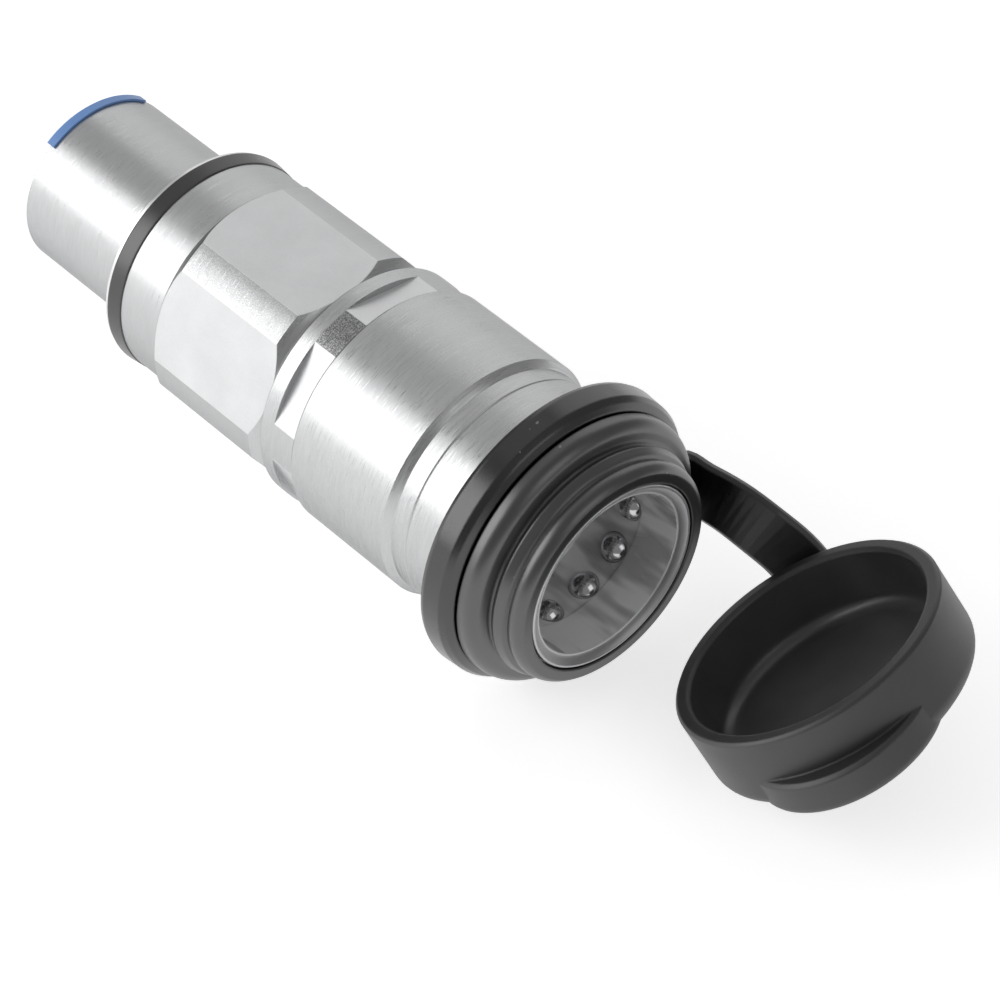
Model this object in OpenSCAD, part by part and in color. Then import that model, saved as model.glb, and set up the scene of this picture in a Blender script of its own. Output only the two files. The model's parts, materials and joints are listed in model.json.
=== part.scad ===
// Half-inch hydraulic quick coupler, socket half, lying on its side.
// The coupler's axis is X, with the socket mouth at x = 0 facing +X and the hose port at -X. +Z is up.

/* [Overall] */
// Length from the socket mouth to the hose port face
length = 106; // [98:0.5:124]
// Bore of the socket that takes the male tip
bore_d = 24.06; // [23.5:0.01:24.6]
// Wall of the ball socket round its bore
socket_wall = 1.72; // [1.5:0.02:2.1]
// Step from the socket's outside down to the port tube, on the radius
tube_step = 0.83; // [0.5:0.01:1.2]

/* [Sleeve] */
// Wall of the sleeve round the lock's relief
sleeve_wall = 0.68; // [0.6:0.02:1.2]
// Step from the spigot up to the barrel, on the radius
barrel_step = 0.87; // [0.6:0.01:1.6]
// Depth of the wrench flats below the hexagon's corners
flat_depth = 1.35; // [1:0.05:1.6]
// Step from the wrench flats down to the plain land, on the radius
land_step = 0.2; // [0.1:0.05:0.5]
// Length of the plain land
land_len = 7.5; // [5:0.1:10]
// Place of the sleeve's rear face behind the mouth
sleeve_rear = 80.05; // [74:0.05:86]
// Place of the gap between the two hexagons behind the mouth
neck_at = 49.6; // [48:0.1:52]
// Length from that gap to the barrel
short_hex_len = 7.1; // [5:0.1:9]
// Place of the barrel's front edge behind the mouth
barrel_front = 23.3; // [21:0.1:26]
// Roll of the long hexagon about the axis
long_hex_roll = 36; // [0:1:59]
// Roll of the short hexagon about the axis
short_hex_roll = 23.3; // [0:0.1:59]

/* [Lock] */
// Diameter of one locking ball
ball_d = 4.37; // [3.9:0.01:4.8]
// Place of the balls behind the mouth
ball_at = 9.6; // [9.3:0.1:10]
// How far the balls stand into the bore when locked
ball_grip = 1.2; // [0.9:0.05:1.5]
// Travel of the socket inside the sleeve
travel = 5; // [3:0.1:6]
// Turn of the first ball from the Y axis
ball_roll = 19.6; // [0:0.1:30]

/* [Springs] */
// Wire of the sleeve spring
sleeve_wire = 1.2; // [0.9:0.05:1.4]
// Pitch of the sleeve spring
sleeve_pitch = 2.7; // [2.2:0.1:4]
// Wire of the valve spring
valve_wire = 1.0; // [0.7:0.05:1.3]
// Pitch of the valve spring
valve_pitch = 3.24; // [2.4:0.02:4]

/* [Dust cap] */
// Depth of the cap outside
cap_h = 11.5; // [9:0.1:14]
// Wall of the cap
cap_wall = 2.15; // [1.4:0.05:2.6]
// Thickness of the cap's floor
cap_floor = 2.3; // [1.5:0.1:3]
// Height of the ring that carries the cap's strap
ring_h = 4.6; // [3.6:0.1:6]
// Width of that ring along the axis
ring_w = 5.0; // [4:0.1:5.4]
// Height of the front collar over the spigot
collar_h = 2.62; // [2:0.02:3.4]
// Width of the strap
strap_w = 8; // [5:0.5:9]
// Thickness of the strap
strap_t = 1.8; // [1.2:0.1:2.4]

/* [Port] */
// Wall of the port tube round the thread's core
port_wall = 3.62; // [3:0.02:4.4]
// Depth of the port thread
port_len = 17; // [14:0.5:19]

/* [Hidden] */

$fn = 96;
steel = [0.78, 0.79, 0.80];
bright = [0.66, 0.67, 0.69];
rubber = [0.06, 0.06, 0.065];

// Clearances: a sliding fit, a fixed fit and a free gap, each taken on the radius
run_fit = 0.06;
fixed_fit = 0.05;
free_gap = 0.2;

// Small bevel on an outer edge
edge = 0.3;

bore_r = bore_d / 2;
socket_r = bore_r + socket_wall;
guide_r = socket_r + run_fit;
tube_r = socket_r - tube_step;

// Lock: the ball circle, the land that holds the balls in and the relief that lets them out
ball_n = 12;
ball_r = ball_d / 2;
ball_circle_r = bore_r - ball_grip + ball_r;
ball_stand = 0.1;
ball_rise = ball_grip - ball_stand;
lock_gap = 0.1;
lock_r = ball_circle_r + ball_r + lock_gap;
relief_r = lock_r + ball_rise;
relief_rear = ball_at + travel + ball_r + 0.3;
ramp_at = ball_at - 0.3;
ball_zone_front = ball_at - ball_r - 0.2;

// Bore of the socket: a relieved part round the balls, and the ball holes with their lips
relieved_r = bore_r + 0.3;
bore_depth = ball_at + 5.4;
bore_step = 1.2;
ball_hole_r = ball_r + 0.06;
ball_lip_r = sqrt(ball_r * ball_r - pow(ball_circle_r - relieved_r, 2)) + 0.04;
ball_lip_h = 0.35;

// Radii of the sleeve's outside
spigot_r = relief_r + sleeve_wall;
barrel_r = spigot_r + barrel_step;
flat_r = barrel_r - flat_depth;
land_r = flat_r - land_step;
neck_r = flat_r - 0.7;
band_r = barrel_r - 0.25;

// Seals of the male tip and of the joint
seal_cs = 0.98;
backup_t = 0.9;
seal_front = bore_depth + 5.4;
seal_rear = seal_front + 2 * seal_cs + backup_t + 0.34;
seal_groove_r = socket_r - 1.4;
seal_bore_r = seal_groove_r - 2 * (seal_cs + 0.02);
joint_seal_cs = 0.8;

// Socket and body, joined by a thread in front of the sleeve's inner end
mouth_chamfer = 1.4;
mouth_bevel = 1.32;
seat_at = 36;
seat_len = 1.5;
seat_slope = 1.4 / seat_len;
seat_r = seal_bore_r - 2.15;
seat_out_r = seat_r + seat_slope * seat_len;
joint_at = seat_at + seat_len + 0.2;
body_front = joint_at + 1.9;
socket_rear = joint_at + 9.8;
thread_r = socket_r - 1.75;
chamber_r = thread_r - 1.8;
passage_r = chamber_r - 1.9;
port_r = tube_r - port_wall;
port_bevel = 1.2;

// Sleeve chamber with its spring, between the rear flange and the stop ring
flange_t = 2.5;
chamber_rear = sleeve_rear - flange_t;
spring_side = 0.24;
spring_r = tube_r + sleeve_wire / 2 + spring_side;
chamber_sleeve_r = spring_r + sleeve_wire / 2 + spring_side;
spigot_rear = neck_at + 5.4;
spigot_thread_r = chamber_sleeve_r + 0.4;
stop_t = 1.5;
stop_groove = 0.6;
stop_r = chamber_sleeve_r - free_gap;
washer_t = 0.8;
stop_at = spigot_rear + 0.1;
washer_at = stop_at + stop_t + 0.05;

// Hexagons, with rounded ends on the long one, and the gap and the band between them
hex_rear = sleeve_rear - land_len;
rear_round = 1.8;
front_round = 1.5;
front_round_r = barrel_r - 1.25;
neck_gap = 0.5;
band_front = neck_at - neck_gap;
band_w = 2.6;
barrel_rear = neck_at - short_hex_len;

// Ring groove, nose and collar at the front
groove_front = 8.1;
groove_rear = groove_front + ring_w + 0.2;
groove_r = spigot_r - 0.28;
ring_r = groove_r + ring_h;
ring_at = (groove_front + groove_rear) / 2;
nose_at = ball_zone_front - 1.5;
nose_r = guide_r + 1.59;
nose_front = 1.2;
collar_rear = groove_front - 0.2;
collar_r = spigot_r + collar_h;
collar_bore = socket_r + 0.25;
collar_round = 1.9;
waist_r = nose_r + 1.3;
lip_round = 1.75;
scribe_at = 20.6;
scribe_w = 0.15;
scribe_depth = 0.12;

// Wiper and its washer behind the sleeve
wiper_t = 2.55;
wiper_r = land_r + 0.4;
wiper_front_r = land_r + 0.12;
wiper_boss = 2;
wiper_boss_r = land_r - 1.4;
washer_back_t = 0.6;
washer_back_r = wiper_r - 0.2;

// Valve
poppet_gap = 0.3;
poppet_r = seat_out_r - poppet_gap;
poppet_nose = seat_at - 11.5;
poppet_nose_r = seat_r - 4.6;
poppet_back = seat_at + 4.3;
spring_lip = 1.2;
stem_r = 2.4;
poppet_seal_cs = 0.5;
poppet_seal_at = seat_at + 1;
poppet_seal_r = seat_r - poppet_gap + seat_slope * (poppet_seal_at - seat_at) - poppet_seal_cs + 0.02;
guide_at = poppet_back + 19.7;
guide_rim_t = 2.5;
guide_rim = 1.6;
guide_hub_r = stem_r + 1.8;
guide_hub_front = guide_at - 5.5;
guide_arm = 2.2;
stem_rear = guide_at + 2;
valve_spring_r = guide_hub_r + valve_wire / 2 + 1.3;

// Dust cap: its place off the mouth, its lean, and the turns of its tab and strap about its own axis
cap_r = waist_r + 0.2 + cap_wall;
cap_place = [cap_r + 2.65, ring_r - 8.3, -3.7];
cap_lean = 33.4;
cap_turn = 206;
tab_turn = 116;
cap_edge = 2.5;
cap_inner_edge = 2;
tab_r = 13.25;
tab_out = cap_r - 10.5;
tab_top = 6.3;
tab_edge = 1.2;

// Plug in the port: a hub with a flange, and a pull tab bent over the tube's edge
plug_len = 10;
plug_wall = 1.2;
plug_flange = 0.85;
plug_tab_from = 50;
plug_tab_to = 126;
plug_tab_len = 1.1;
plug_tab_t = 0.33;

// A point of the cap's outside: out from its axis, turned about it, and down from its rim
function on_cap(out, turn, down) =
    let (x = out * cos(turn), y = out * sin(turn), u = x * cos(cap_lean) - down * sin(cap_lean))
    cap_place + [u * cos(cap_turn) - y * sin(cap_turn), u * sin(cap_turn) + y * cos(cap_turn),
        -down * cos(cap_lean) - x * sin(cap_lean)];

// The strap leaves the ring, runs beside the collar and turns in to the cap's wall
strap_root_turn = -9.94;
strap_root = [-ring_at, (ring_r - 1.7) * cos(strap_root_turn), (ring_r - 1.7) * sin(strap_root_turn)];
strap_route = [strap_root, [-ring_at + 0.3, ring_r + 0.8, -3.9], [-ring_at + 3.5, ring_r + 1.6, -4.6],
    [-ring_at + 8.2, ring_r + 2.6, -5.2], [-ring_at + 12.9, ring_r + 3.6, -6.6],
    on_cap(cap_r + 2.95, -62.2, 0.29), on_cap(cap_r + 2.5, -63.6, 4.35), on_cap(cap_r - 1.09, -64.15, 5.98)];
strap_root_width = [0, 0.17, 0.985];
strap_end_width = [0.483, 0.723, 0.494];
strap_steps = 4;
strap_corner = 0.5;

// Revolves a profile of [radius, x] points about the X axis
module turned(points) {
    rotate([0, 90, 0]) rotate_extrude() polygon(points);
}

// Part of a revolved profile, from one turn about the X axis to another, counted from Y
module turned_part(points, from, to) {
    rotate([from, 0, 0]) rotate([0, 90, 0]) rotate([0, 0, 90])
        rotate_extrude(angle = to - from) polygon(points);
}

// A round section of radius cs, revolved at radius r round the X axis
module torus_at(x, r, cs) {
    translate([x, 0, 0]) rotate([0, 90, 0]) rotate_extrude() translate([r, 0]) circle(r = cs, $fn = 48);
}

// A hexagonal bar along X, from x0 to x1, with its flats flat_r from the axis
module hex_bar(x0, x1, roll) {
    translate([x0, 0, 0]) rotate([roll, 0, 0]) rotate([0, 90, 0])
        linear_extrude(x1 - x0) circle(r = flat_r / cos(30), $fn = 6);
}

// A ball centred on the axis whose skin passes through two [radius, x] points
module ball_through(a, b) {
    at = (a[1] * a[1] + a[0] * a[0] - b[1] * b[1] - b[0] * b[0]) / 2 / (a[1] - b[1]);
    translate([at, 0, 0]) sphere(r = norm([a[0], a[1] - at]));
}

// Points of a quarter round in a profile, from angle a0 to a1 about centre c
function arc(c, r, a0, a1, n = 8) = [for (i = [0 : n]) c + r * [cos(a0 + (a1 - a0) * i / n),
    sin(a0 + (a1 - a0) * i / n)]];

function unit(v) = v / norm(v);

// A point at t on the smooth curve through p
function curve_at(p, i, t) =
    let (last = len(p) - 1, a = p[max(i - 1, 0)], b = p[i], c = p[min(i + 1, last)], d = p[min(i + 2, last)])
    0.5 * (2 * b + (c - a) * t + (2 * a - 5 * b + 4 * c - d) * t * t + (3 * b - a - 3 * c + d) * t * t * t);

function curve(p, steps) = concat(
    [for (i = [0 : len(p) - 2], k = [0 : steps - 1]) curve_at(p, i, k / steps)], [p[len(p) - 1]]);

// Faces of a closed tube of rings with m points each
function tube_faces(rings, m) = concat([[for (j = [0 : m - 1]) m - 1 - j]],
    [for (i = [0 : rings - 2], j = [0 : m - 1])
        [i * m + j, i * m + (j + 1) % m, (i + 1) * m + (j + 1) % m, (i + 1) * m + j]],
    [[for (j = [0 : m - 1]) (rings - 1) * m + j]]);

// A round wire wound about the X axis from x0 to x1, with closed ends
module coil(x0, x1, r, wire, pitch, per_turn, sides) {
    run = x1 - x0 - wire;
    turns = run / pitch;
    n = ceil(turns * per_turn);
    end_turn = 0.75 / turns;
    function rise(t) = t < end_turn ? 0.5 * t * t / end_turn / (1 - end_turn)
        : t > 1 - end_turn ? 1 - 0.5 * (1 - t) * (1 - t) / end_turn / (1 - end_turn)
        : (t - 0.5 * end_turn) / (1 - end_turn);
    points = [for (i = [0 : n], j = [0 : sides - 1])
        let (t = i / n, a = 360 * turns * t, b = 360 * j / sides, q = r + wire / 2 * cos(b))
        [x0 + wire / 2 + run * rise(t) + wire / 2 * sin(b), q * cos(a), q * sin(a)]];
    polyhedron(points, tube_faces(n + 1, sides), convexity = 10);
}

// Rear half of the sleeve: the plain land and the long hexagon, over the spring chamber
module rear_sleeve() {
    rear = -sleeve_rear;
    color(steel) difference() {
        union() {
            turned([[0, rear - wiper_boss], [wiper_boss_r, rear - wiper_boss], [wiper_boss_r, rear],
                [land_r, rear], [land_r, -hex_rear], [0, -hex_rear]]);
            intersection() {
                turned([[0, -hex_rear], [barrel_r, -hex_rear], [barrel_r, -neck_at], [0, -neck_at]]);
                hex_bar(-hex_rear - 1, -neck_at + 1, long_hex_roll);
                ball_through([barrel_r, -hex_rear + rear_round], [land_r, -hex_rear]);
                ball_through([barrel_r, -neck_at - front_round], [front_round_r, -neck_at]);
            }
        }
        turned([[0, rear - wiper_boss - 1], [tube_r + run_fit, rear - wiper_boss - 1],
            [tube_r + run_fit, -chamber_rear], [chamber_sleeve_r, -chamber_rear],
            [chamber_sleeve_r, -spigot_rear - 1], [spigot_thread_r + fixed_fit, -spigot_rear - 1],
            [spigot_thread_r + fixed_fit, -neck_at + 1], [0, -neck_at + 1]]);
    }
}

// Front half of the sleeve: the band, the short hexagon, the barrel and the spigot, with the lock ramp inside
module front_sleeve() {
    flats = -band_front + band_w;
    color(steel) difference() {
        union() {
            turned([[0, -spigot_rear], [spigot_thread_r, -spigot_rear], [spigot_thread_r, -neck_at],
                [neck_r, -neck_at], [neck_r, -band_front], [band_r - edge, -band_front],
                [band_r, -band_front + edge], [band_r, flats], [0, flats]]);
            intersection() {
                turned([[0, flats], [band_r, flats], [band_r, -barrel_rear], [0, -barrel_rear]]);
                hex_bar(flats - 1, -barrel_rear + 1, short_hex_roll);
            }
            turned([[0, -barrel_rear], [band_r, -barrel_rear], [barrel_r, -barrel_rear + edge],
                [barrel_r, -barrel_front - 1.1], [barrel_r - 0.35, -barrel_front - 0.6],
                [spigot_r + 0.2, -barrel_front - 0.2], [spigot_r, -barrel_front],
                [spigot_r, -scribe_at - scribe_w], [spigot_r - scribe_depth, -scribe_at],
                [spigot_r, -scribe_at + scribe_w], [spigot_r, -groove_rear], [groove_r, -groove_rear],
                [groove_r, -groove_front], [spigot_r, -groove_front], [spigot_r, -nose_at],
                [nose_r, -nose_at], [nose_r, -nose_front], [0, -nose_front]]);
        }
        turned([[0, -spigot_rear - 1], [guide_r, -spigot_rear - 1], [guide_r, -relief_rear],
            [relief_r, -relief_rear], [relief_r, -ramp_at - travel], [lock_r, -ramp_at],
            [lock_r, -ball_zone_front], [guide_r, -ball_zone_front + 0.6],
            [guide_r, -nose_front + 1], [0, -nose_front + 1]]);
    }
}

// Rubber bumper on the sleeve's nose: a shoulder, a waist with a bead, and the lip round the mouth
module front_collar() {
    color(rubber) turned(concat(
        [[spigot_r + fixed_fit, -collar_rear], [collar_r - edge / 2, -collar_rear],
            [collar_r, -collar_rear + edge / 2]],
        arc([collar_r - collar_round, -6.9], collar_round, 0, 72),
        [[waist_r + 0.8, -4.95], [waist_r + 0.05, -4.75], [waist_r, -4.45]],
        arc([waist_r + 0.05, -3.75], 0.42, -70, 40, 5),
        [[waist_r + 0.15, -2.9], [waist_r, -2.55]],
        arc([nose_r - 0.8, -1.4], lip_round, -30, 60, 8),
        [[nose_r - 0.1, 0.1], [collar_bore, 0.1], [collar_bore, -nose_front + 0.1],
            [nose_r + fixed_fit, -nose_front + 0.1], [nose_r + fixed_fit, -nose_at + fixed_fit],
            [spigot_r + fixed_fit, -nose_at + fixed_fit]]));
}

// Solid outline of the cap, rim up, with its finger tab
module cap_outside() {
    rotate_extrude() polygon(concat([[0, 0], [cap_r - 0.4, 0], [cap_r, -0.4]],
        arc([cap_r - cap_edge, cap_edge - cap_h], cap_edge, 0, -90), [[0, -cap_h]]));
    rotate([0, 0, tab_turn]) translate([tab_out, 0, 0]) rotate_extrude() polygon(concat(
        [[0, -tab_top], [tab_r - 0.5, -tab_top], [tab_r, -tab_top - 0.5]],
        arc([tab_r - tab_edge, tab_edge - cap_h], tab_edge, 0, -90, 5), [[0, -cap_h]]));
}

// Hollow of the cap
module cap_hollow() {
    r = cap_r - cap_wall;
    depth = cap_h - cap_floor;
    rotate_extrude() polygon(concat([[0, 1], [r + 0.4, 1], [r + 0.4, 0], [r, -0.5]],
        arc([r - cap_inner_edge, cap_inner_edge - depth], cap_inner_edge, 0, -90), [[0, -depth]]));
}

// Strap from the ring to the cap, a rounded flat band that twists on its way
module strap() {
    path = curve(strap_route, strap_steps);
    n = len(path);
    w = strap_w / 2;
    t = strap_t / 2;
    c = strap_corner;
    section = [[w, t - c], [w - c, t], [c - w, t], [-w, t - c],
        [-w, c - t], [c - w, -t], [w - c, -t], [w, c - t]];
    points = [for (i = [0 : n - 1])
        let (s = i / (n - 1), way = unit(path[min(i + 1, n - 1)] - path[max(i - 1, 0)]),
            wide = strap_root_width * (1 - s) + strap_end_width * s,
            side = unit(wide - (wide * way) * way), up = cross(side, way))
        for (q = section) path[i] + q[0] * side + q[1] * up];
    polyhedron(points, tube_faces(n, len(section)), convexity = 6);
}

// Dust cap with its strap and its ring, one moulding; the ring turns in the sleeve's groove
module dust_cap() {
    rear = -groove_rear + 0.1;
    front = -groove_front - 0.1;
    inner = groove_r + run_fit;
    color(rubber) union() {
        turned([[inner, rear], [ring_r - 0.8, rear], [ring_r - 0.2, rear + 0.3], [ring_r, rear + 0.9],
            [ring_r - 0.2, front - 1.4], [ring_r - 0.7, front - 0.6], [ring_r - 1.6, front], [inner, front]]);
        strap();
        translate(cap_place) rotate([0, cap_lean, cap_turn]) difference() {
            cap_outside();
            cap_hollow();
        }
    }
}

// Rubber band over the sleeve's rear boss, with a lip that wipes the tube
module wiper_ring() {
    rear = -sleeve_rear - wiper_t;
    color(rubber) turned([[tube_r + run_fit, rear], [wiper_r - edge / 2, rear], [wiper_r, rear + edge / 2],
        [wiper_front_r, -sleeve_rear], [wiper_boss_r + fixed_fit, -sleeve_rear],
        [wiper_boss_r + fixed_fit, -sleeve_rear - wiper_boss - fixed_fit],
        [tube_r + run_fit, -sleeve_rear - wiper_boss - fixed_fit]]);
}

// Thin washer that backs the wiper
module backing_washer() {
    front = -sleeve_rear - wiper_t;
    rear = front - washer_back_t;
    color(bright) turned([[tube_r + run_fit, rear], [washer_back_r - edge / 2, rear],
        [washer_back_r, rear + edge / 2], [washer_back_r, front], [tube_r + run_fit, front]]);
}

// Spring that pushes the body forward in the sleeve
module sleeve_spring() {
    color(bright) coil(-chamber_rear, -washer_at - washer_t, spring_r, sleeve_wire, sleeve_pitch, 24, 6);
}

// Body with the hose port, the flow passage and the valve chamber
module coupler_body() {
    rear = -length;
    color(steel) difference() {
        turned([[0, rear], [tube_r - edge, rear], [tube_r, rear + edge], [tube_r, -stop_at - stop_t],
            [tube_r - stop_groove, -stop_at - stop_t], [tube_r - stop_groove, -stop_at],
            [tube_r, -stop_at], [tube_r, -socket_rear], [thread_r - fixed_fit, -socket_rear],
            [thread_r - fixed_fit, -body_front], [0, -body_front]]);
        turned([[0, rear - 1], [port_r + port_bevel, rear - 1], [port_r + port_bevel, rear],
            [port_r, rear + port_bevel], [port_r, rear + port_len], [passage_r, rear + port_len + 1],
            [passage_r, -guide_at], [chamber_r, -guide_at], [chamber_r, -body_front + 1],
            [0, -body_front + 1]]);
    }
}

// Turn and place of one ball or of its hole: i counts round the axis
module at_ball(i) {
    rotate([ball_roll + 360 / ball_n * i, 0, 0]) translate([-ball_at, 0, 0]) children();
}

// Hole of one ball, pointing out along Z: a lip that keeps the ball, and the straight part
module ball_hole() {
    straight = relieved_r + ball_lip_h;
    slope = (ball_hole_r - ball_lip_r) / ball_lip_h;
    start = bore_r - 1;
    translate([0, 0, straight]) cylinder(r = ball_hole_r, h = 4, $fn = 48);
    translate([0, 0, start]) cylinder(r1 = ball_hole_r - slope * (straight - start), r2 = ball_hole_r,
        h = straight - start, $fn = 48);
}

// Socket with the mouth, the ball holes, the seal groove and the valve seat
module ball_socket() {
    color(bright) difference() {
        turned([[bore_r + mouth_bevel, 0], [socket_r - edge / 2, 0], [socket_r, -edge / 2],
            [socket_r, -socket_rear], [thread_r, -socket_rear], [thread_r, -joint_at],
            [seat_out_r, -joint_at], [seat_out_r, -seat_at - seat_len], [seat_r, -seat_at],
            [seat_r, -seat_at + 1], [seal_bore_r, -seat_at + 1.5], [seal_bore_r, -seal_rear],
            [seal_groove_r, -seal_rear], [seal_groove_r, -seal_front], [seal_bore_r, -seal_front],
            [seal_bore_r, -bore_depth - bore_step], [relieved_r, -bore_depth],
            [relieved_r, -ball_zone_front], [bore_r, -ball_zone_front], [bore_r, -mouth_chamfer]]);
        for (i = [0 : ball_n - 1])
            at_ball(i) rotate([-90, 0, 0]) ball_hole();
    }
}

// One locking ball
module lock_ball(i) {
    color(bright) at_ball(i) translate([0, ball_circle_r, 0]) sphere(r = ball_r, $fn = 48);
}

// Retaining ring in the body's groove, which stops the body against the front half of the sleeve
module stop_ring() {
    inner = tube_r - stop_groove + 0.02;
    rear = -stop_at - stop_t + 0.02;
    front = -stop_at - 0.02;
    color(bright) turned([[inner, rear], [stop_r, rear], [stop_r, front], [inner, front]]);
}

// Washer between the spring and the retaining ring
module spring_washer() {
    color(steel) turned([[tube_r + run_fit, -washer_at - washer_t], [stop_r, -washer_at - washer_t],
        [stop_r, -washer_at], [tube_r + run_fit, -washer_at]]);
}

// Seal that grips the male tip
module bore_seal() {
    color(rubber) torus_at(-seal_front - seal_cs - 0.1, seal_bore_r + seal_cs - 0.02, seal_cs);
}

// Back-up ring behind that seal
module seal_backup() {
    rear = -seal_rear + fixed_fit;
    inner = seal_bore_r + fixed_fit;
    outer = seal_groove_r - fixed_fit;
    color("ivory") turned([[inner, rear], [outer, rear], [outer, rear + backup_t], [inner, rear + backup_t]]);
}

// Seal between the body's front end and the socket
module joint_seal() {
    color(rubber) torus_at(-(body_front + joint_at) / 2, thread_r - joint_seal_cs - fixed_fit, joint_seal_cs);
}

// Valve poppet with its nose, head and stem
module poppet() {
    lip_r = valve_spring_r - valve_wire;
    color(bright) difference() {
        turned(concat([[0, -poppet_nose]], arc([poppet_nose_r - 1, -poppet_nose - 1], 1, 90, 0, 5),
            [[poppet_nose_r, -poppet_nose - 5], [seat_r - poppet_gap - 1.2, -seat_at + 1.5],
                [seat_r - poppet_gap, -seat_at], [poppet_r, -seat_at - seat_len], [poppet_r, -poppet_back],
                [lip_r, -poppet_back], [lip_r - 0.4, -poppet_back - spring_lip],
                [stem_r, -poppet_back - spring_lip], [stem_r, -stem_rear + 0.5], [stem_r - 0.5, -stem_rear],
                [0, -stem_rear]]));
        torus_at(-poppet_seal_at, poppet_seal_r, poppet_seal_cs + 0.02);
    }
}

// Seal on the poppet's cone
module poppet_seal() {
    color(rubber) torus_at(-poppet_seal_at, poppet_seal_r, poppet_seal_cs);
}

// Spring that closes the valve
module poppet_spring() {
    color(bright) coil(-guide_at + guide_rim_t, -poppet_back, valve_spring_r, valve_wire, valve_pitch, 18, 6);
}

// Guide of the poppet's stem: a hub on three arms in a rim
module poppet_guide() {
    rim_r = chamber_r - guide_rim;
    color(steel) difference() {
        union() {
            turned([[rim_r, -guide_at], [chamber_r - fixed_fit, -guide_at],
                [chamber_r - fixed_fit, -guide_at + guide_rim_t], [rim_r, -guide_at + guide_rim_t]]);
            turned([[0, -guide_at], [guide_hub_r, -guide_at], [guide_hub_r, -guide_hub_front - 0.5],
                [guide_hub_r - 0.5, -guide_hub_front], [0, -guide_hub_front]]);
            for (a = [0, 120, 240])
                rotate([a, 0, 0]) translate([-guide_at, -guide_arm / 2, guide_hub_r - 1])
                    cube([guide_rim_t, guide_arm, rim_r - guide_hub_r + 1.4]);
        }
        translate([-guide_at - 1, 0, 0]) rotate([0, 90, 0])
            cylinder(r = stem_r + run_fit, h = guide_at - guide_hub_front + 2);
    }
}

// Plastic shipping plug in the hose port, hollow from behind
module port_plug() {
    face = -length - fixed_fit;
    back = face - plug_flange;
    hub = port_r - 0.15;
    flange_r = tube_r - 1.7;
    tab_r = tube_r + fixed_fit;
    color([0.2, 0.42, 0.78]) union() {
        turned([[0, back + plug_len - 1.5], [hub - plug_wall - 0.2, back + plug_len - 1.5],
            [hub - plug_wall, back], [flange_r, back], [flange_r, face], [hub, face],
            [hub - 0.3, back + plug_len - 0.5], [hub - 0.9, back + plug_len], [0, back + plug_len]]);
        turned_part([[flange_r - 0.5, back], [tab_r - 0.3, back], [tab_r + plug_tab_t, face - 0.2],
            [tab_r + plug_tab_t, face + plug_tab_len], [tab_r, face + plug_tab_len], [tab_r, face],
            [flange_r - 0.5, face]], plug_tab_from, plug_tab_to);
    }
}

rear_sleeve();
front_sleeve();
front_collar();
dust_cap();
wiper_ring();
backing_washer();
sleeve_spring();
coupler_body();
ball_socket();
stop_ring();
spring_washer();
bore_seal();
seal_backup();
joint_seal();
poppet();
poppet_seal();
poppet_spring();
poppet_guide();
port_plug();
lock_ball(0);  // lock_ball_01
lock_ball(1);  // lock_ball_02
lock_ball(2);  // lock_ball_03
lock_ball(3);  // lock_ball_04
lock_ball(4);  // lock_ball_05
lock_ball(5);  // lock_ball_06
lock_ball(6);  // lock_ball_07
lock_ball(7);  // lock_ball_08
lock_ball(8);  // lock_ball_09
lock_ball(9);  // lock_ball_10
lock_ball(10);  // lock_ball_11
lock_ball(11);  // lock_ball_12
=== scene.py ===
"""Looks of the hydraulic quick coupler: its materials, stand-ins, floor, lamps and camera.

Lengths are in metres. X runs along the coupler's axis and out of its mouth, and Z is up.
"""
import json
import math

import bpy
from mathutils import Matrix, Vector


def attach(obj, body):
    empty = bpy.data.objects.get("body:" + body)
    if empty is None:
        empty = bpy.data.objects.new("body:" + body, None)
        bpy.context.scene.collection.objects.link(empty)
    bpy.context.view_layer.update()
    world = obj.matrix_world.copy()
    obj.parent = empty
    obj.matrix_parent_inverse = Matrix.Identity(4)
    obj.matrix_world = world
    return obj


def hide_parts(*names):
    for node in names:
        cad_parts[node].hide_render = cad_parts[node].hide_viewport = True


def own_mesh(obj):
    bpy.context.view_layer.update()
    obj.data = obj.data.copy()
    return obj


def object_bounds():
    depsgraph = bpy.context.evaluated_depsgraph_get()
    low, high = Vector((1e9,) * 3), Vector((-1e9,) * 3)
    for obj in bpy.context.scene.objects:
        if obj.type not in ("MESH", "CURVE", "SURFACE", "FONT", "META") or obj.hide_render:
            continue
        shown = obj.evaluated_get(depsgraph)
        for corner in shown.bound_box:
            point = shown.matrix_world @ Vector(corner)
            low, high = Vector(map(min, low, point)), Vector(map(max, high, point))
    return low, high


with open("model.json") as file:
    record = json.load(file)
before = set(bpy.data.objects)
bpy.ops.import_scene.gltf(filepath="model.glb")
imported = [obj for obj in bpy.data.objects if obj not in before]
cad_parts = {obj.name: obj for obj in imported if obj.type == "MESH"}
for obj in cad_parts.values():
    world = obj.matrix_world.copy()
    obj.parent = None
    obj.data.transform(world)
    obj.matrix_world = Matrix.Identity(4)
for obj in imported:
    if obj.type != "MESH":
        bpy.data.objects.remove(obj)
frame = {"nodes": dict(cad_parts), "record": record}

MM = 0.001
cad_low, cad_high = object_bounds()
nodes = frame["nodes"]

# The sleeve's two hexagons: distance of their flats from the axis, and roll, start and end of each
APOTHEM = 16.6 * MM
LONG_HEX = (math.radians(36), -72.6 * MM, -49.4 * MM)
SHORT_HEX = (math.radians(23.3), -46.5 * MM, -42.5 * MM)
SIXTH_TURN = math.pi / 3
# Their stippled corner: the radius where corners begin, and its first and last turn about X
CORNER_RADIUS = 17.3 * MM
CORNER_TURNS = (1.65, 2.3)

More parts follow.
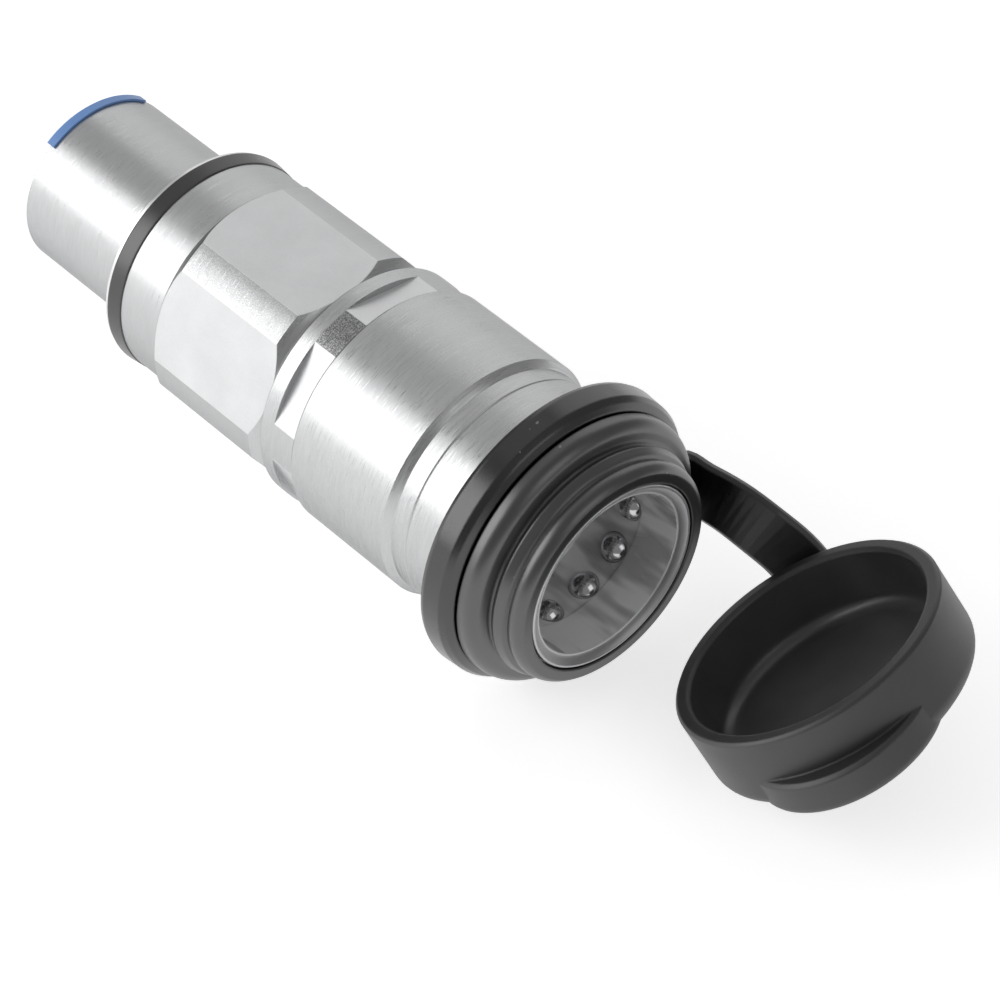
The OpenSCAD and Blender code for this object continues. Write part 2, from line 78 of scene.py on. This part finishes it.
# The mouth's bevel: its depth in the CAD and as shown
BEVEL_DEPTH = 1.4 * MM
SHOWN_DEPTH = 0.75 * MM
# Radii just outside the bore, the painted highlight at the bevel's inner edge, and the inside with
# painted streaks
BORE_REACH = 12.1 * MM
LIP_REACH = 12.25 * MM
INSIDE_REACH = 12.6 * MM

# The cup of the dust cap: middle of its rim, axis, inner radius, and the depth of its hollow
CUP_RIM = (21.7 * MM, 13.1 * MM, -3.7 * MM)
CUP_AXIS = (-0.4948, -0.2413, 0.8348)
CUP_RADIUS = 16.95 * MM
CUP_DEPTH = 9.8 * MM
# The cap is dusty in front of this place along X
DUSTY_FROM = -4 * MM
DUST_FADE = 4 * MM

# Springs: place of the fixed end along X, length at rest and travel of the joint, both in mm
SLEEVE_SPRING = (-77.55 * MM, 20.1, 5)
POPPET_SPRING = (-57.5 * MM, 17.2, 6)

STEEL = (0.58, 0.585, 0.59)
BRIGHT_STEEL = (0.60, 0.60, 0.61)
BALL_STEEL = (0.58, 0.58, 0.59)
WIRE_STEEL = (0.50, 0.50, 0.51)
WASHER_STEEL = (0.80, 0.80, 0.80)
IVORY = (0.86, 0.84, 0.76)
BLUE = (0.20, 0.38, 0.78)

# Pitch of the lines that turning leaves, and radius of rubber's rounded edges
LINE_PITCH = 0.23 * MM
RUBBER_EDGE_MM = 0.45


class Graph:
    """Short names for the node-building calls of one material."""

    def __init__(self, name):
        self.material = bpy.data.materials.new(name)
        self.material.use_nodes = True
        self.tree = self.material.node_tree
        self.tree.nodes.clear()
        self.out = self.tree.nodes.new("ShaderNodeOutputMaterial")

    def add(self, kind, settings=None, **inputs):
        node = self.tree.nodes.new(kind)
        for key, value in (settings or {}).items():
            setattr(node, key, value)
        for key, value in inputs.items():
            self.put(node.inputs[key.replace("_", " ")], value)
        return node

    def put(self, socket, value):
        if isinstance(value, bpy.types.NodeSocket):
            self.tree.links.new(value, socket)
        else:
            socket.default_value = value

    def put_all(self, sockets, values):
        for socket, value in zip(sockets, values):
            self.put(socket, value)

    def math(self, operation, a, b=0.0, c=0.0):
        node = self.add("ShaderNodeMath", {"operation": operation})
        self.put_all(node.inputs, (a, b, c))
        return node.outputs[0]

    def sum(self, a, b):
        return self.math("ADD", a, b)

    def product(self, a, b):
        return self.math("MULTIPLY", a, b)

    def vector_math(self, operation, *values):
        node = self.add("ShaderNodeVectorMath", {"operation": operation})
        self.put_all(node.inputs, values)
        return node.outputs

    def ramp(self, value, low, high, to_low=0.0, to_high=1.0):
        """A smooth step: to_low up to low, to_high from high on."""
        node = self.add("ShaderNodeMapRange", {"interpolation_type": "SMOOTHSTEP"}, Value=value)
        names = ("From Min", "From Max", "To Min", "To Max")
        self.put_all((node.inputs[name] for name in names), (low, high, to_low, to_high))
        return node.outputs["Result"]

    def below(self, value, low, high):
        """1 where value is less than low, 0 where it is more than high."""
        return self.ramp(value, low, high, 1.0, 0.0)

    def between(self, value, low, high, soft):
        """1 where value lies from low to high, 0 outside, with soft edges."""
        return self.product(self.ramp(value, low - soft, low), self.below(value, high, high + soft))

    def swing(self, value, amount, middle):
        """A noise value turned into middle plus or minus half the amount."""
        return self.math("MULTIPLY_ADD", value, amount, middle - amount / 2)

    def blend(self, share, a, b):
        """Plain number from a at share 0 to b at share 1."""
        node = self.add("ShaderNodeMix")
        self.put_all((node.inputs[0], node.inputs[2], node.inputs[3]), (share, a, b))
        return node.outputs[0]

    def mix(self, share, a, b):
        """Colour from a at share 0 to b at share 1."""
        node = self.add("ShaderNodeMix", {"data_type": "RGBA"})
        self.put_all((node.inputs[0], node.inputs[6], node.inputs[7]), (share, a, b))
        return node.outputs[2]

    def noise(self, vector, scale, detail=2.0, roughness=0.5):
        node = self.add("ShaderNodeTexNoise", Vector=vector, Scale=scale, Detail=detail,
                        Roughness=roughness)
        return node.outputs["Fac"]

    def stretched(self, x, y, z, detail, roughness=0.5):
        """Noise of scale 1 whose three coordinates have their own scales."""
        node = self.add("ShaderNodeCombineXYZ")
        self.put_all(node.inputs, (x, y, z))
        return self.noise(node.outputs[0], 1.0, detail, roughness)

    def place(self):
        """Object coordinates, and their X, distance from the X axis and turn about it."""
        where = self.add("ShaderNodeTexCoord").outputs["Object"]
        split = self.add("ShaderNodeSeparateXYZ", Vector=where)
        x, y, z = split.outputs
        r = self.math("SQRT", self.sum(self.product(y, y), self.product(z, z)))
        return where, x, r, self.math("ARCTAN2", z, y)

    def worn_edges(self, radius_mm):
        """Normals with the sharp edges rounded off, so that they catch the light."""
        node = self.add("ShaderNodeBevel", {"samples": 6}, Radius=radius_mm * MM)
        return node.outputs["Normal"]

    def bump(self, height, distance, strength, normal=None):
        node = self.add("ShaderNodeBump", Height=height, Distance=distance, Strength=strength)
        if normal is not None:
            self.put(node.inputs["Normal"], normal)
        return node.outputs["Normal"]

    def finish(self, **inputs):
        shader = self.add("ShaderNodeBsdfPrincipled", **inputs)
        self.put(self.out.inputs["Surface"], shader.outputs[0])
        return self.material


def rgba(colour, times=1.0):
    return tuple(min(1.0, c * times) for c in colour) + (1.0,)


def grey(tone, times=1.0):
    return rgba((tone,) * 3, times)


def mill_flats(g, look, where, x, r, angle, colour, hexagon, stipple):
    """The flats of a hexagon (roll, start, end) are milled: lighter, with soft clouds and faint
    straight marks. Its upper corner is stippled with dark pits."""
    roll, start, end = hexagon
    turn = g.math("SUBTRACT", angle, roll - SIXTH_TURN / 2)
    turn = g.math("MODULO", g.sum(turn, 4 * math.pi), SIXTH_TURN)
    turn = g.math("SUBTRACT", turn, SIXTH_TURN / 2)
    proud = g.math("SUBTRACT", g.product(r, g.math("COSINE", turn)), APOTHEM)
    across = g.product(r, g.math("SINE", turn))
    zone = g.between(x, start, end, 0.02 * MM)
    flat = g.product(zone, g.below(g.math("ABSOLUTE", proud), 0.03 * MM, 0.05 * MM))

    mill = g.stretched(g.product(across, 5200), g.product(x, 260), 0.0, detail=3.0, roughness=0.6)
    grain = g.noise(where, 3800.0)
    patch = g.noise(where, 150.0, detail=3.0)
    tone = g.sum(g.sum(g.swing(mill, 0.15, 0.7), g.swing(patch, 0.8, 0.0)),
                 g.swing(grain, 0.35, 0.0))

    corner = g.product(zone, g.ramp(r, CORNER_RADIUS, CORNER_RADIUS + 0.3 * MM))
    corner = g.product(corner, g.between(angle, *CORNER_TURNS, 0.05))
    pits = g.ramp(g.noise(where, 7000.0), 0.56, 0.48, 0.0, stipple)

    base = g.mix(g.product(corner, pits), look["base"], rgba(colour, 0.15))
    look["base"] = g.mix(flat, base, g.mix(tone, rgba(colour, 1.2), rgba(colour, 1.6)))
    look["metal"] = g.blend(flat, look["metal"], 0.5)
    look["roughness"] = g.blend(flat, look["roughness"],
                                g.sum(g.swing(mill, 0.10, 0.42), g.swing(patch, 0.12, 0.0)))
    look["height"] = g.blend(flat, look["height"],
                             g.sum(g.product(mill, 0.25), g.product(grain, 0.2)))


def dull_mouth(g, look, x, r, angle, cloud, colour):
    """Inside the mouth the steel is greyer and duller, and random lighter streaks are painted into
    its colour as painted reflections. The bevel round it is dull, with a painted highlight along
    its inner edge."""
    face_back, face_front = -0.80 * MM, -0.72 * MM
    face = g.ramp(x, face_back, face_front)
    within = g.product(g.below(r, INSIDE_REACH, INSIDE_REACH + 0.02 * MM),
                       g.below(x, face_back, face_front))
    # Painted highlight: a bright ring painted on the bevel's inner edge, where a rounded edge would
    # catch the light
    painted_lip_highlight = g.product(g.between(x, -0.86 * MM, -0.70 * MM, 0.03 * MM),
                    g.below(r, LIP_REACH, LIP_REACH + 0.05 * MM))
    # Painted reflections: lighter streaks at random places in the colour of the bore; the same
    # noise also varies its roughness
    streak_noise = g.stretched(g.product(x, 70), g.product(angle, 3.2), 0.0, detail=2.0)
    painted_streak_tone = g.mix(g.ramp(streak_noise, 0.40, 0.56), rgba(colour, 0.9), rgba(colour, 1.66))

    base = g.mix(face, look["base"], g.mix(cloud, rgba(colour, 0.85), rgba(colour, 1.2)))
    base = g.mix(within, base, painted_streak_tone)
    look["base"] = g.mix(painted_lip_highlight, base, rgba(colour, 1.66))
    roughness = g.blend(face, look["roughness"], g.swing(cloud, 0.15, 0.5))
    look["roughness"] = g.blend(within, roughness, g.swing(streak_noise, 0.25, 0.30))
    look["metal"] = g.blend(painted_lip_highlight, g.blend(within, look["metal"], 0.15), 0.3)


def turned_steel(name, colour, rough, spread, depth=0.008, marks=1.0, rim=0.55, worn=0.0,
                 hexagon=None, stipple=0.3, mouth=False):
    """Steel with the fine lines that turning and brushing leave round the X axis.

    rough and spread give its roughness and how far the lines vary it, depth is the lines' depth
    in mm, marks how strong their tone is, rim the gloss at grazing angles, and worn the radius in
    mm of its rounded edges."""
    g = Graph(name)
    where, x, r, angle = g.place()
    along = 1 / LINE_PITCH
    lines = g.stretched(g.product(x, along), g.product(r, along), g.product(angle, 4.0),
                        detail=4.0, roughness=0.7)
    lines = g.ramp(lines, 0.33, 0.67)
    coarse = g.stretched(g.product(x, along / 5), g.product(r, along / 5), g.product(angle, 1.6),
                         detail=3.0)
    cloud = g.noise(where, 90.0, detail=3.0)
    tone = g.sum(g.swing(lines, 0.55 * marks, 0.5), g.swing(coarse, 0.35 * marks, 0.0))
    look = {"base": g.mix(tone, rgba(colour, 0.84), rgba(colour, 1.16)),
            "roughness": g.sum(g.swing(lines, spread, rough), g.swing(cloud, 0.08, 0.0)),
            "height": g.sum(g.product(lines, 0.7), g.product(coarse, 0.3)),
            "metal": 1.0}
    if hexagon is not None:
        mill_flats(g, look, where, x, r, angle, colour, hexagon, stipple)
    if mouth:
        dull_mouth(g, look, x, r, angle, cloud, colour)
    normal = g.worn_edges(worn) if worn else None
    return g.finish(Base_Color=look["base"], Metallic=look["metal"], Roughness=look["roughness"],
                    Specular_Tint=grey(rim), Normal=g.bump(look["height"], depth * MM, 0.8, normal))


def cup_hollow(g, where):
    """1 in the hollow of the dust cap, 0 outside it."""
    off = g.vector_math("SUBTRACT", where, CUP_RIM)["Vector"]
    cross = g.vector_math("CROSS_PRODUCT", off, CUP_AXIS)["Vector"]
    reach = g.vector_math("LENGTH", cross)["Value"]
    rise = g.vector_math("DOT_PRODUCT", off, CUP_AXIS)["Value"]
    inside = g.product(g.below(rise, -0.7 * MM, -0.3 * MM),
                       g.ramp(rise, -CUP_DEPTH, -CUP_DEPTH + 0.3 * MM))
    return g.product(g.below(reach, CUP_RADIUS, CUP_RADIUS + 0.2 * MM), inside)


def rubber(name, tone, rough, ior, cap=False):
    """Black moulded rubber: a faint grain, soft clouds in its sheen and a few light specks of
    dust. The cap is duller and greyer towards its front. Its hollow is painted a lighter grey:
    painted light that lifts the shade inside it."""
    g = Graph(name)
    where, x = g.place()[:2]
    fine = g.noise(where, 2600.0, detail=3.0, roughness=0.6)
    cloud = g.noise(where, 120.0, detail=4.0, roughness=0.55)
    specks = g.ramp(g.noise(where, 1300.0, detail=0.0), 0.865, 0.885)
    base = g.mix(cloud, grey(tone, 0.8), grey(tone, 1.25))
    base = g.mix(g.product(specks, 0.6), base, grey(0.3))
    roughness = g.sum(g.swing(cloud, 0.12, rough), g.swing(fine, 0.06, 0.0))
    if cap:
        dust = g.ramp(x, DUSTY_FROM, DUSTY_FROM + DUST_FADE)
        base = g.mix(dust, base, g.mix(cloud, grey(0.008), grey(0.014)))
        roughness = g.math("MULTIPLY_ADD", dust, 0.22, roughness)
        hollow = cup_hollow(g, where)
        # Painted light: the hollow gets a lighter grey than the rest of the cap, lifting its shade
        painted_hollow_light = g.mix(cloud, rgba((0.036, 0.036, 0.037)), rgba((0.072, 0.072, 0.074)))
        base = g.mix(hollow, base, painted_hollow_light)
        roughness = g.blend(hollow, roughness, g.swing(cloud, 0.12, 0.32))
    height = g.sum(g.product(fine, 0.6), g.product(cloud, 0.4))
    normal = g.bump(height, 0.010 * MM, 0.6, g.worn_edges(RUBBER_EDGE_MM))
    return g.finish(Base_Color=base, Roughness=roughness, IOR=ior, Specular_IOR_Level=1.0,
                    Normal=normal)


def plastic(name, colour, rough):
    """Moulded plastic with a faint unevenness."""
    g = Graph(name)
    where = g.place()[0]
    cloud = g.noise(where, 200.0, detail=3.0)
    return g.finish(Base_Color=g.mix(cloud, rgba(colour, 0.85), rgba(colour, 1.12)),
                    Roughness=g.swing(cloud, 0.15, rough), Normal=g.bump(cloud, 0.02 * MM, 0.4))


def dress(names, material):
    for name in names:
        piece = nodes[name]
        piece.data.materials.clear()
        piece.data.materials.append(material)


def dress_all():
    dress(["coupler_body"], turned_steel("turned_steel", STEEL, 0.35, 0.16, marks=0.6))
    dress(["rear_sleeve"], turned_steel("rear_steel", STEEL, 0.35, 0.16, marks=0.5, worn=0.12,
                                        hexagon=LONG_HEX))
    dress(["front_sleeve"], turned_steel("front_steel", STEEL, 0.35, 0.22, marks=0.8, worn=0.12,
                                         hexagon=SHORT_HEX, stipple=0.75))
    dress(["spring_washer", "poppet_guide"], turned_steel("inner_steel", STEEL, 0.32, 0.12))
    dress(["ball_socket"], turned_steel("socket_steel", BRIGHT_STEEL, 0.40, 0.08, depth=0.003,
                                        marks=0.2, rim=1.0, worn=0.18, mouth=True))
    dress(["poppet", "stop_ring"], turned_steel("bright_steel", BRIGHT_STEEL, 0.22, 0.08,
                                                depth=0.003))
    dress(["backing_washer"], turned_steel("washer_steel", WASHER_STEEL, 0.30, 0.08, depth=0.003))
    dress(["sleeve_spring", "poppet_spring"], turned_steel("wire", WIRE_STEEL, 0.30, 0.08))
    dress([name for name in nodes if name.startswith("lock_ball")],
          turned_steel("ball_steel", BALL_STEEL, 0.15, 0.06, depth=0.001, marks=0.3, rim=1.0))
    dress(["dust_cap"], rubber("cap_rubber", 0.003, 0.25, 1.52, cap=True))
    dress(["front_collar"], rubber("collar_rubber", 0.023, 0.33, 1.65))
    dress(["wiper_ring"], rubber("wiper_rubber", 0.010, 0.32, 1.54))
    dress(["bore_seal", "joint_seal", "poppet_seal"], rubber("seal_rubber", 0.018, 0.34, 1.5))
    dress(["seal_backup"], plastic("ivory", IVORY, 0.45))
    dress(["port_plug"], plastic("blue", BLUE, 0.38))


def stand_in(node):
    """A copy of a node's mesh that is shown in its place, on the same body."""
    piece = bpy.data.objects.new(node + "_shown", nodes[node].data.copy())
    bpy.context.scene.collection.objects.link(piece)
    bodies = frame["record"]["behaviour"]["bodies"]
    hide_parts(node)
    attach(piece, next(body for body, held in bodies.items() if node in held))
    return piece


def make_spring(node, joint, fixed_end, length, travel):
    """A stand-in for the spring, with its own copy of the mesh."""
    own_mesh(stand_in(node))


def make_mouth():
    """The ball socket with the shallow bevel that the mouth shows."""
    piece = stand_in("ball_socket")
    for vertex in piece.data.vertices:
        x, y, z = vertex.co
        if abs(x + BEVEL_DEPTH) < 0.02 * MM and math.hypot(y, z) < BORE_REACH:
            vertex.co.x = -SHOWN_DEPTH


def make_floor(height, glow_strength):
    """Pale floor. Camera and glossy rays see it as near white; the object's shadow stays on it."""
    bpy.ops.mesh.primitive_plane_add(size=12, location=(0, 0, height))
    floor = bpy.context.object
    floor.name = "floor"
    g = Graph("floor")
    diffuse = g.add("ShaderNodeBsdfDiffuse", Color=grey(0.82))
    glow = g.add("ShaderNodeEmission", Color=grey(1.0))
    path = g.add("ShaderNodeLightPath").outputs
    seen = g.math("MAXIMUM", path["Is Camera Ray"],
                  g.math("MAXIMUM", path["Is Glossy Ray"], path["Is Transmission Ray"]))
    g.put(glow.inputs["Strength"], g.product(seen, glow_strength))
    both = g.add("ShaderNodeAddShader")
    g.put_all(both.inputs, (diffuse.outputs[0], glow.outputs[0]))
    g.put(g.out.inputs["Surface"], both.outputs[0])
    floor.data.materials.append(g.material)


def softbox(name, way, distance, size, radiance):
    """A square lamp that shines on the object from the direction way."""
    lamp = bpy.data.lights.new(name, "AREA")
    lamp.shape = "SQUARE"
    lamp.size = size
    lamp.energy = radiance * math.pi * size * size
    thing = bpy.data.objects.new(name, lamp)
    bpy.context.scene.collection.objects.link(thing)
    way = Vector(way).normalized()
    thing.location = way * distance
    thing.rotation_mode = "QUATERNION"
    thing.rotation_quaternion = way.to_track_quat("Z", "Y")


def make_world(level):
    world = bpy.data.worlds.new("studio")
    bpy.context.scene.world = world
    world.use_nodes = True
    background = world.node_tree.nodes["Background"]
    background.inputs["Color"].default_value = grey(1.0)
    background.inputs["Strength"].default_value = level


def make_camera():
    """The photograph's viewpoint, worked out from its circles and silhouettes."""
    data = bpy.data.cameras.new("camera")
    data.sensor_width = 36
    data.lens = 144
    data.clip_start, data.clip_end = 0.01, 30
    camera = bpy.data.objects.new("camera", data)
    bpy.context.scene.collection.objects.link(camera)
    camera.location = (0.2549, -0.2492, 0.3627)
    camera.rotation_mode = "QUATERNION"
    camera.rotation_quaternion = Vector((-0.5305, 0.4784, -0.6998)).to_track_quat("-Z", "Y")
    bpy.context.scene.camera = camera


dress_all()
make_spring("sleeve_spring", "socket_slide", *SLEEVE_SPRING)
make_spring("poppet_spring", "valve_slide", *POPPET_SPRING)
make_mouth()

make_floor(cad_low.z, glow_strength=0.64)
softbox("left_box", (-0.53, -0.71, 0.42), distance=1.2, size=0.92, radiance=2.5)
softbox("right_box", (-0.56, 0.70, 0.44), distance=1.3, size=1.15, radiance=0.66)
softbox("top_box", (-0.53, 0.06, 0.85), distance=1.3, size=0.9, radiance=0.24)
softbox("front_box", (0.80, 0.10, 0.60), distance=1.3, size=0.75, radiance=0.85)
make_world(0.26)
make_camera()

bpy.context.scene.view_settings.view_transform = "Standard"
